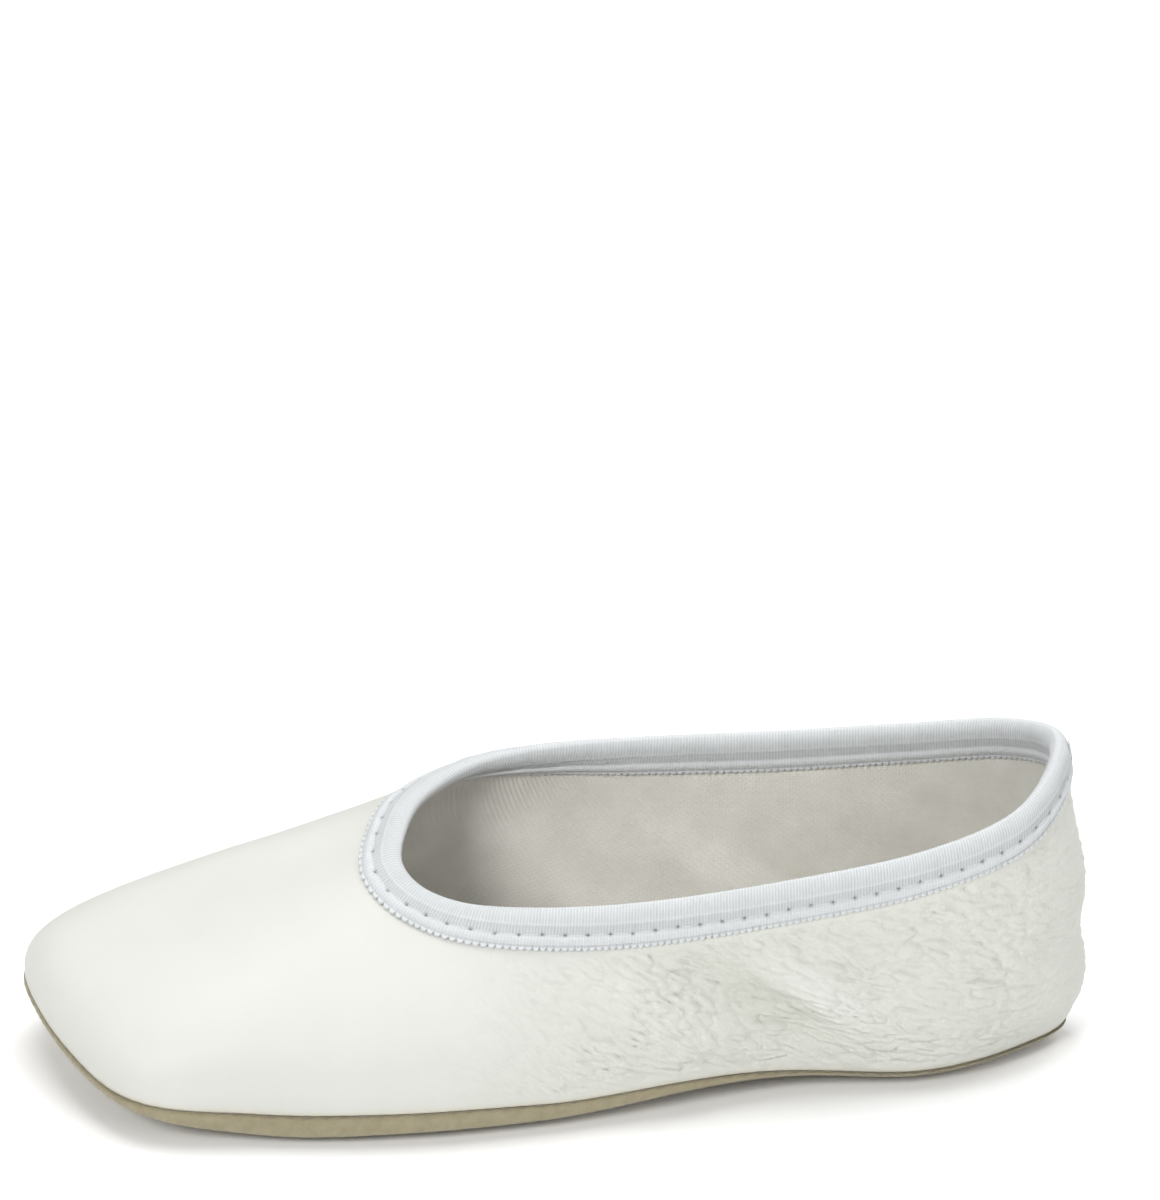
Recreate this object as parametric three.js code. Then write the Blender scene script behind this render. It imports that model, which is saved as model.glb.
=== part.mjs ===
// Full-sole leather ballet slipper for the left foot.
// Millimetres, +X towards the toe, +Y to the slipper's left, +Z up, standing on z = 0.
import * as THREE from 'three';

// Overall sizes
const SLIPPER_LENGTH = 200; // heel to toe
const SOLE_WIDTH = 71; // across the ball, at the sole seam
const COLLAR_HEIGHT = 62; // floor to the collar's edge, at centre back
const TOE_SPRING = 11; // lift of the sole under the toe tip
const ARCH_LIFT = 2; // lift of the sole under the arch

// Sheet thicknesses
const LEATHER_THICKNESS = 1;
const LINING_THICKNESS = 0.5;
const OUTSOLE_THICKNESS = 1.6;
const PAD_THICKNESS = 1.5;
const SOCK_THICKNESS = 0.5;
const BINDING_THICKNESS = 0.9;
const BACKSTRIP_THICKNESS = 0.6;

// Trim sizes
const BINDING_WIDTH = 7.8; // folded width of the elastic on each side of the edge
const STITCH_INSET = 5.2; // from the collar's edge down to its row of stitches
const THREAD_DIAMETER = 0.5;
const BACKSTRIP_WIDTH = 10;
const JOIN_WIDTH = 2.4; // bar of stitches that closes the elastic at the back
const JOIN_LENGTH = 3.4;
const INSOLE_EASE = 0.6; // how much smaller the insole is cut than the space for it
const SEAM_GAP = 0.3; // clearance between pieces that touch

// Sole rim
const RIM_OVERHANG = 0.4; // how far the sole's rim stands out past the seam
const CURL_REACH = 8; // how far in from the rim the turned-up edge starts

// Where the sole leaves the floor
const SPRING_START = 42;
const ARCH_CENTRE = -30;
const ARCH_HALF_LENGTH = 35;

// The ribs below are drawn on a last of this size and scaled to the sizes above.
const LAST = { length: 200, width: 71, height: 62 };

// Ribs run from the sole seam up to the collar, in order heel, left side, toe, right side.
// seam: along, across, height of the sole's rim; wall: how much of that height is upright;
// collar: along, across, height.
// flare and lean are degrees: the rib leaves the seam flared outwards from upright,
// and reaches the collar leaning inwards from level. rise and reach are their lengths.
const RIBS = [
  { seam: [-95.7, 0, 3.8], wall: 0.6, collar: [-93.5, 0, 62], flare: 34, rise: 13, lean: 80, reach: 22 },
  { seam: [-87.5, 9.5, 3.5], wall: 0.6, collar: [-85, 13, 54], flare: 34, rise: 15, lean: 82, reach: 16 },
  { seam: [-69, 18.8, 3.4], wall: 0.6, collar: [-67, 20, 49], flare: 27, rise: 14, lean: 84, reach: 14 },
  { seam: [-42, 21, 3.7], wall: 0.8, collar: [-42, 22.5, 45], flare: 22, rise: 14, lean: 84, reach: 14 },
  { seam: [-8, 29.5, 5.3], wall: 2.4, collar: [-12, 21, 40.5], flare: 20, rise: 14, lean: 76, reach: 12 },
  { seam: [25, 35, 6.5], wall: 3.6, collar: [12, 18, 39.5], flare: 20, rise: 14, lean: 55, reach: 14 },
  { seam: [58, 33.5, 5.7], wall: 4, collar: [24, 11, 39.5], flare: 20, rise: 16, lean: 35, reach: 20 },
  { seam: [84, 27, 3.4], wall: 1.8, collar: [29.5, 3, 42], flare: 20, rise: 16, lean: 25, reach: 26 },
  { seam: [100, -9, 3.4], wall: 1.3, collar: [28.5, -6, 45.5], flare: 10, rise: 16, lean: 23, reach: 42 },
  { seam: [89, -29, 3.9], wall: 1.5, collar: [24, -15, 48], flare: 15, rise: 9, lean: 20, reach: 16 },
  { seam: [60, -36, 6], wall: 3.2, collar: [14, -22, 51], flare: 12, rise: 10, lean: 32, reach: 16 },
  { seam: [25, -33, 6], wall: 3.4, collar: [0, -24, 53], flare: 12, rise: 16, lean: 55, reach: 16 },
  { seam: [-8, -24, 5.8], wall: 2, collar: [-18, -24, 54], flare: 12, rise: 16, lean: 76, reach: 14 },
  { seam: [-42, -20, 4], wall: 1, collar: [-42, -22.5, 55], flare: 15, rise: 16, lean: 84, reach: 14 },
  { seam: [-69, -19.5, 3.4], wall: 0.6, collar: [-67, -20, 57], flare: 24, rise: 18, lean: 84, reach: 16 },
  { seam: [-87.5, -10.5, 3.6], wall: 0.6, collar: [-86, -13, 60.5], flare: 29, rise: 18, lean: 82, reach: 18 },
];

// Fineness of the faceted surfaces
const SLICES = 72; // round the foot
const RIB_ROWS = 7; // down each rib, below the binding
const ROW_CROWDING = 1.4; // over 1, the rows lie closer together near the seam
const THREAD_SIDES = 5;

const alongScale = SLIPPER_LENGTH / LAST.length;
const acrossScale = SOLE_WIDTH / LAST.width;
const heightScale = COLLAR_HEIGHT / LAST.height;
const lining = { outer: -(LEATHER_THICKNESS + SEAM_GAP) };
lining.inner = lining.outer - LINING_THICKNESS;
const wallThickness = -lining.inner;

const up = new THREE.Vector3(0, 0, 1);

function vector(x, y, z) {
  return new THREE.Vector3(x, y, z);
}

// Height of the sole's underside above the floor.
function groundHeight(x) {
  const along = x / alongScale;
  const toeShare = Math.max(0, (along - SPRING_START) / (LAST.length / 2 - SPRING_START));
  const archShare = Math.min(1, Math.abs(along - ARCH_CENTRE) / ARCH_HALF_LENGTH);
  return TOE_SPRING * toeShare ** 2 + ARCH_LIFT * (1 - archShare ** 2) ** 2;
}

// Closed Catmull-Rom curve through one value of every rib; turn runs from 0 to 1 round the foot.
function roundTheFoot(turn, valueOf) {
  const place = (((turn % 1) + 1) % 1) * RIBS.length;
  const first = Math.floor(place);
  const u = place - first;
  const at = (step) => valueOf(RIBS[(first + step + RIBS.length) % RIBS.length]);
  const [a, b, c, d] = [at(-1), at(0), at(1), at(2)];
  return b + 0.5 * u * (c - a + u * (2 * a - 5 * b + 4 * c - d + u * (3 * (b - c) + d - a)));
}

function seamPoint(turn) {
  const x = roundTheFoot(turn, (rib) => rib.seam[0]) * alongScale;
  const y = roundTheFoot(turn, (rib) => rib.seam[1]) * acrossScale;
  return vector(x, y, groundHeight(x) + roundTheFoot(turn, (rib) => rib.seam[2]));
}

function collarPoint(turn) {
  return vector(
    roundTheFoot(turn, (rib) => rib.collar[0]) * alongScale,
    roundTheFoot(turn, (rib) => rib.collar[1]) * acrossScale,
    roundTheFoot(turn, (rib) => rib.collar[2]) * heightScale,
  );
}

// Level direction that points away from the foot, square to an outline.
function outwardOf(outline, turn) {
  const step = 0.002;
  const ahead = outline(turn + step).sub(outline(turn - step));
  return vector(-ahead.y, ahead.x, 0).normalize();
}

// One rib as a cubic Bezier curve from the seam to the collar.
function ribCurve(turn) {
  const flare = THREE.MathUtils.degToRad(roundTheFoot(turn, (rib) => rib.flare));
  const lean = THREE.MathUtils.degToRad(roundTheFoot(turn, (rib) => rib.lean));
  const rise = roundTheFoot(turn, (rib) => rib.rise) * heightScale;
  const reach = roundTheFoot(turn, (rib) => rib.reach) * heightScale;
  const start = seamPoint(turn);
  const end = collarPoint(turn);
  const leave = outwardOf(seamPoint, turn).multiplyScalar(Math.sin(flare));
  leave.addScaledVector(up, Math.cos(flare));
  const arrive = outwardOf(collarPoint, turn).multiplyScalar(-Math.cos(lean));
  arrive.addScaledVector(up, Math.sin(lean));
  return new THREE.CubicBezierCurve3(
    start,
    start.clone().addScaledVector(leave, rise),
    end.clone().addScaledVector(arrive, -reach),
    end,
  );
}

// A rib that can be read by its distance down from the collar's edge.
function makeRib(turn) {
  const step = 0.002;
  const curve = ribCurve(turn);
  const before = ribCurve(turn - step);
  const after = ribCurve(turn + step);
  const length = curve.getLength();
  const place = (drop, offset) => {
    const s = curve.getUtoTmapping(0, Math.max(0, length - drop));
    const across = after.getPoint(s).sub(before.getPoint(s));
    const outward = curve.getTangent(s).cross(across).normalize();
    return curve.getPoint(s).addScaledVector(outward, offset);
  };
  return { turn, length, place };
}

function ribsAround() {
  return Array.from({ length: SLICES }, (_, i) => makeRib(i / SLICES));
}

const ribs = ribsAround();

function geometryFrom(points, triangles) {
  const geometry = new THREE.BufferGeometry();
  const positions = points.flatMap((point) => [point.x, point.y, point.z]);
  geometry.setAttribute('position', new THREE.Float32BufferAttribute(positions, 3));
  geometry.setIndex(triangles);
  geometry.computeVertexNormals();
  return geometry;
}

function quad(a, b, c, d) {
  return [a, b, c, a, c, d];
}

// A closed ring round the foot, from the closed section at each rib.
function ringGeometry(sectionOf) {
  const sections = ribs.map(sectionOf);
  const size = sections[0].length;
  const triangles = [];
  for (let i = 0; i < SLICES; i += 1) {
    for (let j = 0; j < size; j += 1) {
      const here = i * size;
      const next = ((i + 1) % SLICES) * size;
      const above = (j + 1) % size;
      triangles.push(...quad(here + j, here + above, next + above, next + j));
    }
  }
  return geometryFrom(sections.flat(), triangles);
}

// A plate closed from nested outlines: centre of the top, over the edge, centre of the underside.
// fillHeights give the height of its flat middle, first on top and then underneath.
function plateGeometry(outlines, fillHeights) {
  const columns = 5;
  const points = outlines.flat();
  const triangles = [];
  for (let ring = 0; ring + 1 < outlines.length; ring += 1) {
    for (let i = 0; i < SLICES; i += 1) {
      const next = (i + 1) % SLICES;
      const here = ring * SLICES;
      const below = here + SLICES;
      triangles.push(...quad(here + i, here + next, below + next, below + i));
    }
  }
  const fill = (base, heightAt, faceUp) => {
    const row = (i) => {
      if (i === 0 || i === SLICES / 2) return [base + i];
      const left = points[base + i];
      const right = points[base + SLICES - i];
      const inner = [];
      for (let k = 1; k < columns; k += 1) {
        const point = left.clone().lerp(right, k / columns);
        point.z = heightAt(point.x);
        inner.push(points.push(point) - 1);
      }
      return [base + i, ...inner, base + SLICES - i];
    };
    const rows = Array.from({ length: SLICES / 2 + 1 }, (_, i) => row(i));
    for (let i = 0; i + 1 < rows.length; i += 1) {
      const [heelward, toeward] = [rows[i], rows[i + 1]];
      for (let k = 0; k < columns; k += 1) {
        const corners = [heelward[k], heelward[k + 1], toeward[k + 1], toeward[k]];
        const known = corners.filter((corner) => corner !== undefined);
        if (heelward.length === 1) known.splice(0, known.length, heelward[0], toeward[k + 1], toeward[k]);
        if (toeward.length === 1) known.splice(0, known.length, heelward[k], heelward[k + 1], toeward[0]);
        if (!faceUp) known.reverse();
        triangles.push(...(known.length === 3 ? known : quad(...known)));
      }
    }
  };
  fill(0, fillHeights[0], true);
  fill((outlines.length - 1) * SLICES, fillHeights[1], false);
  return geometryFrom(points, triangles);
}

// A closed patch between two equal grids of points, outer face first.
function patchGeometry(outer, inner) {
  const rows = outer.length;
  const columns = outer[0].length;
  const points = [...outer.flat(), ...inner.flat()];
  const innerBase = rows * columns;
  const triangles = [];
  const join = (a, b, c, d) => triangles.push(...quad(a, b, c, d));
  for (let r = 0; r + 1 < rows; r += 1) {
    for (let c = 0; c + 1 < columns; c += 1) {
      const corner = r * columns + c;
      join(corner, corner + 1, corner + columns + 1, corner + columns);
      const back = innerBase + corner;
      join(back, back + columns, back + columns + 1, back + 1);
    }
  }
  const border = [];
  for (let c = 0; c < columns - 1; c += 1) border.push(c);
  for (let r = 0; r < rows - 1; r += 1) border.push(r * columns + columns - 1);
  for (let c = columns - 1; c > 0; c -= 1) border.push((rows - 1) * columns + c);
  for (let r = rows - 1; r > 0; r -= 1) border.push(r * columns);
  border.forEach((here, i) => {
    const next = border[(i + 1) % border.length];
    join(here, innerBase + here, innerBase + next, next);
  });
  return geometryFrom(points, triangles);
}

function finish(name, geometry, colour, roughness) {
  const material = new THREE.MeshStandardMaterial({ color: colour, roughness, metalness: 0 });
  const mesh = new THREE.Mesh(geometry, material);
  mesh.name = name;
  return mesh;
}

// Distances down from the collar's edge at which a sheet has its rows.
function sheetDrops(rib, top) {
  const drops = [top, (top + BINDING_WIDTH) / 2, BINDING_WIDTH];
  for (let row = 1; row <= RIB_ROWS; row += 1) {
    const share = 1 - (1 - row / RIB_ROWS) ** ROW_CROWDING;
    drops.push(BINDING_WIDTH + (rib.length - BINDING_WIDTH) * share);
  }
  return drops;
}

// A sheet over the whole foot between two offsets from the upper's outer face.
function sheetRing(outerOffset, innerOffset) {
  const top = BINDING_THICKNESS + 2 * SEAM_GAP;
  return ringGeometry((rib) => {
    const drops = sheetDrops(rib, top);
    const innerFace = drops.map((drop) => rib.place(drop, innerOffset));
    const outerFace = drops.map((drop) => rib.place(drop, outerOffset)).reverse();
    return [...outerFace, ...innerFace];
  });
}

function makeUpper() {
  return finish('upper', sheetRing(0, -LEATHER_THICKNESS), 0xe6e6e1, 0.5);
}

function makeUpperLining() {
  return finish('upper_lining', sheetRing(lining.outer, lining.inner), 0xe9e6dc, 0.95);
}

// Folded elastic that wraps the collar's edge, with one leg on each side.
function makeToplineBinding() {
  const outerFace = SEAM_GAP + BINDING_THICKNESS;
  const innerFace = lining.inner - SEAM_GAP - BINDING_THICKNESS;
  const foldRound = BINDING_THICKNESS * 0.7;
  const foldDepth = BINDING_THICKNESS + SEAM_GAP;
  const middle = (foldDepth + BINDING_WIDTH) / 2;
  const section = [
    [BINDING_WIDTH, outerFace],
    [middle, outerFace],
    [foldRound, outerFace],
    [0, outerFace - foldRound],
    [0, innerFace + foldRound],
    [foldRound, innerFace],
    [middle, innerFace],
    [BINDING_WIDTH, innerFace],
    [BINDING_WIDTH, innerFace + BINDING_THICKNESS],
    [middle, innerFace + BINDING_THICKNESS],
    [foldDepth, innerFace + BINDING_THICKNESS],
    [foldDepth, SEAM_GAP],
    [middle, SEAM_GAP],
    [BINDING_WIDTH, SEAM_GAP],
  ];
  const geometry = ringGeometry((rib) => section.map(([drop, offset]) => rib.place(drop, offset)));
  return finish('topline_binding', geometry, 0xdfe3e4, 0.85);
}

// Corners of a thread's section, in order, as multiples of its diameter.
function threadCorners() {
  return Array.from({ length: THREAD_SIDES }, (_, k) => {
    const angle = (2 * Math.PI * k) / THREAD_SIDES;
    return [0.5 * Math.cos(angle), 0.5 * Math.sin(angle)];
  });
}

function makeToplineStitching() {
  const lift = 2 * SEAM_GAP + BINDING_THICKNESS + THREAD_DIAMETER / 2;
  const section = (rib) => threadCorners().map(([across, out]) => (
    rib.place(STITCH_INSET - across * THREAD_DIAMETER, lift - out * THREAD_DIAMETER)
  ));
  return finish('topline_stitching', ringGeometry(section), 0xc9ccce, 0.7);
}

// Lies in the groove between the upper and the sole's rim.
function makeSoleSeamStitching() {
  const out = 0.7;
  const lift = 0.25;
  const section = (rib) => {
    const outward = outwardOf(seamPoint, rib.turn);
    const centre = seamPoint(rib.turn).addScaledVector(outward, out).addScaledVector(up, lift);
    return threadCorners().map(([sideways, height]) => (
      centre.clone()
        .addScaledVector(outward, sideways * THREAD_DIAMETER)
        .addScaledVector(up, height * THREAD_DIAMETER)
    ));
  };
  return finish('sole_seam_stitching', ringGeometry(section), 0xcfc8b4, 0.8);
}

// The seam's outline, moved out to the sole's outer wall and in from there.
function insetOutline(inset, heightOf) {
  return ribs.map(({ turn }) => {
    const point = seamPoint(turn);
    const seamHeight = point.z;
    point.addScaledVector(outwardOf(seamPoint, turn), RIM_OVERHANG - inset);
    point.z = heightOf(point.x, turn, seamHeight);
    return point;
  });
}

// An outline on the sole's turned-up underside, or lifted above it.
function soleOutline(inset, lift) {
  const share = Math.max(0, 1 - inset / CURL_REACH) ** 2;
  return insetOutline(inset, (x, turn) => (
    groundHeight(x) + share * roundTheFoot(turn, (rib) => rib.seam[2] - rib.wall) + lift
  ));
}

const rimWidth = wallThickness + RIM_OVERHANG;

function makeOutsole() {
  const topside = (inset) => soleOutline(inset, OUTSOLE_THICKNESS);
  const rimTop = (inset) => insetOutline(inset, (x, turn, seamHeight) => seamHeight - SEAM_GAP);
  const halfway = (rimWidth + CURL_REACH) / 2;
  const outlines = [
    topside(CURL_REACH), topside(halfway), topside(rimWidth),
    rimTop(rimWidth), rimTop(0),
    soleOutline(0, 0), soleOutline(rimWidth, 0), soleOutline(halfway, 0), soleOutline(CURL_REACH, 0),
  ];
  const geometry = plateGeometry(outlines, [
    (x) => groundHeight(x) + OUTSOLE_THICKNESS,
    groundHeight,
  ]);
  return finish('outsole', geometry, 0x9c9078, 0.95);
}

// A flat layer inside the rim, between two heights above the outsole's top.
function layerGeometry(bottom, top) {
  const edge = rimWidth + SEAM_GAP + INSOLE_EASE;
  const halfway = (rimWidth + CURL_REACH) / 2;
  const raised = (inset, lift) => soleOutline(inset, OUTSOLE_THICKNESS + lift);
  return plateGeometry([
    raised(CURL_REACH, top), raised(halfway, top), raised(edge, top),
    raised(edge, bottom), raised(halfway, bottom), raised(CURL_REACH, bottom),
  ], [
    (x) => groundHeight(x) + OUTSOLE_THICKNESS + top,
    (x) => groundHeight(x) + OUTSOLE_THICKNESS + bottom,
  ]);
}

function makeInsolePad() {
  const geometry = layerGeometry(SEAM_GAP, SEAM_GAP + PAD_THICKNESS);
  return finish('insole_pad', geometry, 0xd8d2c4, 0.95);
}

function makeSockLining() {
  const bottom = 2 * SEAM_GAP + PAD_THICKNESS;
  const geometry = layerGeometry(bottom, bottom + SOCK_THICKNESS);
  return finish('sock_lining', geometry, 0xe4dfd2, 0.95);
}

// A strip that follows the centre back, between two drops from the collar and two offsets.
function backPatch(width, fromDrop, toDrop, outerOffset, innerOffset, columns, rows) {
  const grid = (offset) => Array.from({ length: rows + 1 }, (_, r) => (
    Array.from({ length: columns + 1 }, (__, c) => {
      const side = width * (c / columns - 0.5);
      const rib = makeRib(side / collarLengthPerTurn);
      return rib.place(fromDrop + ((toDrop(rib) - fromDrop) * r) / rows, offset);
    })
  ));
  return patchGeometry(grid(outerOffset), grid(innerOffset));
}

// Length of the collar per turn at the centre back.
const collarLengthPerTurn = collarPoint(0.01).distanceTo(collarPoint(-0.01)) / 0.02;

function makeHeelBackstrip() {
  const outer = lining.inner - SEAM_GAP;
  const geometry = backPatch(
    BACKSTRIP_WIDTH,
    BINDING_WIDTH + SEAM_GAP,
    (rib) => rib.length - 2 * (OUTSOLE_THICKNESS + SEAM_GAP),
    outer,
    outer - BACKSTRIP_THICKNESS,
    4,
    7,
  );
  return finish('heel_backstrip', geometry, 0xe6e3da, 0.9);
}

function makeBackSeamStitching() {
  const lift = SEAM_GAP + THREAD_DIAMETER;
  const geometry = backPatch(
    THREAD_DIAMETER,
    BINDING_WIDTH + 2 * SEAM_GAP,
    (rib) => rib.length - 2 * SEAM_GAP - THREAD_DIAMETER,
    lift,
    SEAM_GAP,
    1,
    12,
  );
  return finish('back_seam_stitching', geometry, 0xd6d6d0, 0.7);
}

// Bar of stitches that closes the elastic's two ends at the centre back.
function makeBindingJoin() {
  const base = 2 * SEAM_GAP + BINDING_THICKNESS;
  const start = STITCH_INSET - THREAD_DIAMETER / 2 - SEAM_GAP - JOIN_LENGTH;
  const geometry = backPatch(
    JOIN_WIDTH,
    start,
    () => start + JOIN_LENGTH,
    base + THREAD_DIAMETER,
    base,
    2,
    2,
  );
  return finish('binding_join_stitching', geometry, 0xd3d6d8, 0.75);
}

const slipper = new THREE.Group();
slipper.add(makeOutsole());
slipper.add(makeInsolePad());
slipper.add(makeSockLining());
slipper.add(makeUpperLining());
slipper.add(makeUpper());
slipper.add(makeToplineBinding());
slipper.add(makeToplineStitching());
slipper.add(makeSoleSeamStitching());
slipper.add(makeHeelBackstrip());
slipper.add(makeBackSeamStitching());
slipper.add(makeBindingJoin());

// The origin is on the floor, under the middle of the whole slipper.
const middle = new THREE.Box3().setFromObject(slipper).getCenter(new THREE.Vector3());
slipper.position.set(-middle.x, -middle.y, 0);

export default slipper;
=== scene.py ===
import math

import bmesh
import bpy
import numpy as np
from mathutils import Matrix, Vector, noise


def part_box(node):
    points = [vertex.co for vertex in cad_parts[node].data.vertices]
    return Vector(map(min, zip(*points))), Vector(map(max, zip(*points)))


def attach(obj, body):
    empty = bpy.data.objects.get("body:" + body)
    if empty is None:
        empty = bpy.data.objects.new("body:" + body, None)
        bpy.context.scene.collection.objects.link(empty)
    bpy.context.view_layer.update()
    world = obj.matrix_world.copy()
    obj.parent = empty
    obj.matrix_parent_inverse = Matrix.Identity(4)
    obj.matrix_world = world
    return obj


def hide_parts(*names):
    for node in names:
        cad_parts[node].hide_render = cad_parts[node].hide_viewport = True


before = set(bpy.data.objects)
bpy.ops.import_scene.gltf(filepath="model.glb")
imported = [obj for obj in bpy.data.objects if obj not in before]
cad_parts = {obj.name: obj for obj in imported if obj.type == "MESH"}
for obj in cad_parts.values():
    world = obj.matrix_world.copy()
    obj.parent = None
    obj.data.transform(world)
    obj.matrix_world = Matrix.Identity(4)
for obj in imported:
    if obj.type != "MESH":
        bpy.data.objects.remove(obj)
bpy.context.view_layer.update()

print("frame loaded:", len(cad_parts), "nodes")

mm = 0.001
noise.seed_set(3)  # the creases fall the same way each time

# everything below is in millimetres until toFrame

# along, across and height of the seam, upright part of the rim, then along, across and height
# of the collar, and the rib's flare, rise, lean and reach; heel, left side, toe, right side
ribs = np.array([
    (-95.7, 0, 3.8, 0.6, -93.5, 0, 62, 34, 13, 80, 22),
    (-87.5, 9.5, 3.5, 0.6, -85, 13, 54, 34, 15, 82, 16),
    (-69, 18.8, 3.4, 0.6, -67, 20, 49, 27, 14, 84, 14),
    (-42, 21, 3.7, 0.8, -42, 22.5, 45, 22, 14, 84, 14),
    (-8, 29.5, 5.3, 2.4, -12, 21, 40.5, 20, 14, 76, 12),
    (25, 35, 6.5, 3.6, 12, 18, 39.5, 20, 14, 55, 14),
    (58, 33.5, 5.7, 4, 24, 11, 39.5, 20, 16, 35, 20),
    (84, 27, 3.4, 1.8, 29.5, 3, 42, 20, 16, 25, 26),
    (100, -9, 3.4, 1.3, 28.5, -6, 45.5, 10, 16, 23, 42),
    (89, -29, 3.9, 1.5, 24, -15, 48, 15, 9, 20, 16),
    (60, -36, 6, 3.2, 14, -22, 51, 12, 10, 32, 16),
    (25, -33, 6, 3.4, 0, -24, 53, 12, 16, 55, 16),
    (-8, -24, 5.8, 2, -18, -24, 54, 12, 16, 76, 14),
    (-42, -20, 4, 1, -42, -22.5, 55, 15, 16, 84, 14),
    (-69, -19.5, 3.4, 0.6, -67, -20, 57, 24, 18, 84, 16),
    (-87.5, -10.5, 3.6, 0.6, -86, -13, 60.5, 29, 18, 82, 18),
])
ground = {"toeSpring": 11, "springStart": 42, "springEnd": 100,
          "archLift": 2, "archCentre": -30, "archHalfLength": 35}
wall = {"leather": 1.0, "lining": 0.5, "gap": 0.3}
liningOuter = -(wall["leather"] + wall["gap"])
liningInner = liningOuter - wall["lining"]
ribSteps = np.linspace(0, 1, 97)


def smoothStep(low, high, value):
    share = np.clip((value - low) / (high - low), 0, 1)
    return share * share * (3 - 2 * share)


def bell(value, centre, width):
    return np.exp(-((value - centre) / width) ** 2)


def groundHeight(x):
    toe = np.maximum(0, (x - ground["springStart"]) / (ground["springEnd"] - ground["springStart"]))
    arch = np.minimum(1, np.abs(x - ground["archCentre"]) / ground["archHalfLength"])
    return ground["toeSpring"] * toe ** 2 + ground["archLift"] * (1 - arch ** 2) ** 2


def roundTheFoot(turn, column):
    # closed Catmull-Rom curve through one column of the ribs
    place = np.mod(turn, 1) * len(ribs)
    first = np.floor(place).astype(int)
    u = place - first
    a, b, c, d = (ribs[(first + step) % len(ribs), column] for step in (-1, 0, 1, 2))
    return b + 0.5 * u * (c - a + u * (2 * a - 5 * b + 4 * c - d + u * (3 * (b - c) + d - a)))


def seamPoint(turn):
    x = roundTheFoot(turn, 0)
    return np.stack([x, roundTheFoot(turn, 1), groundHeight(x) + roundTheFoot(turn, 2)], -1)


def collarPoint(turn):
    return np.stack([roundTheFoot(turn, column) for column in (4, 5, 6)], -1)


def outwardOf(outline, turn):
    ahead = outline(turn + 0.002) - outline(turn - 0.002)
    outward = np.stack([-ahead[..., 1], ahead[..., 0], np.zeros(len(ahead))], -1)
    return outward / np.linalg.norm(outward, axis=-1, keepdims=True)


def ribControls(turn):
    flare, lean = (np.radians(roundTheFoot(turn, column))[:, None] for column in (7, 9))
    rise, reach = (roundTheFoot(turn, column)[:, None] for column in (8, 10))
    up = np.array([0, 0, 1.0])
    start, end = seamPoint(turn), collarPoint(turn)
    leave = outwardOf(seamPoint, turn) * np.sin(flare) + up * np.cos(flare)
    arrive = up * np.sin(lean) - outwardOf(collarPoint, turn) * np.cos(lean)
    return np.stack([start, start + leave * rise, end - arrive * reach, end])


def alongRib(controls, share):
    a, b, c, d = controls[:, :, None, :]
    s = share[..., None]
    point = (1 - s) ** 3 * a + 3 * (1 - s) ** 2 * s * b + 3 * (1 - s) * s * s * c + s ** 3 * d
    slope = (1 - s) ** 2 * (b - a) + 2 * (1 - s) * s * (c - b) + s * s * (d - c)
    return point, slope


def ribRuns(turn):
    # distances from the seam to each step up each rib
    share = np.broadcast_to(ribSteps, (len(turn), len(ribSteps)))
    line = alongRib(ribControls(turn), share)[0]
    climbed = np.cumsum(np.linalg.norm(np.diff(line, axis=1), axis=-1), axis=1)
    return np.concatenate([np.zeros((len(turn), 1)), climbed], axis=1)


def skin(turn, drop, lift=0):
    # points at a distance down from the collar's edge, lifted square to the leather's outer face
    turn = np.asarray(turn, float)
    drop = np.broadcast_to(drop, (len(turn), np.shape(drop)[-1]))
    share = np.array([np.interp(r[-1] - d, r, ribSteps) for r, d in zip(ribRuns(turn), drop)])
    point, slope = alongRib(ribControls(turn), share)
    nudge = 0.001
    across = (alongRib(ribControls(turn + nudge), share)[0]
              - alongRib(ribControls(turn - nudge), share)[0])
    outward = np.cross(slope, across)
    outward /= np.linalg.norm(outward, axis=-1, keepdims=True)
    return point + outward * np.asarray(lift)[..., None]


def dropsDown(turn, top, share, clear=0):
    # distances down from the collar's edge, from the top to the seam or clear of it
    length = ribRuns(turn)[:, -1:]
    return top + (length - top - clear) * share


def fullTurn(count):
    return np.arange(count) / count


def evenTurns(outline, count):
    # turns that lie the same distance apart along an outline, and the outline's length
    turn = np.linspace(0, 1, 4001)
    run = np.concatenate([[0], np.cumsum(np.linalg.norm(np.diff(outline(turn), axis=0), axis=1))])
    return np.interp(fullTurn(count) * run[-1], run, turn), run[-1]


def stitchTurns(outline, pitch, across):
    # turns along every stitch of a row round an outline, and the number of stitches
    fineness = 2000
    even, length = evenTurns(outline, fineness)
    count = round(length / pitch)
    spots = ((np.arange(count)[:, None] + 0.5 + across) / count).ravel()
    return np.interp(spots, np.arange(fineness + 1) / fineness, np.append(even, 1)), count


def backTurns(width, steps):
    # turns across a strip that is centred on the back seam
    nudge = 0.01
    ends = collarPoint(np.array([-nudge, nudge]))
    return np.linspace(-0.5, 0.5, steps) * width / (np.linalg.norm(ends[1] - ends[0]) / (2 * nudge))


def fromBack(turn):
    # share of a turn from the centre back, to either side
    return (turn + 0.5) % 1 - 0.5


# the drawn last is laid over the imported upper
drawnUpper = skin(fullTurn(72), np.linspace(1.5, 95, 60)).reshape(-1, 3)
packedUpper = np.array(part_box("upper")) / mm
drawnLow, drawnHigh = drawnUpper.min(axis=0), drawnUpper.max(axis=0)
frameScale = (packedUpper[1] - packedUpper[0]) / (drawnHigh - drawnLow)
frameScale[2] = packedUpper[1][2] / drawnHigh[2]
frameShift = packedUpper[1] - drawnHigh * frameScale


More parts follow.
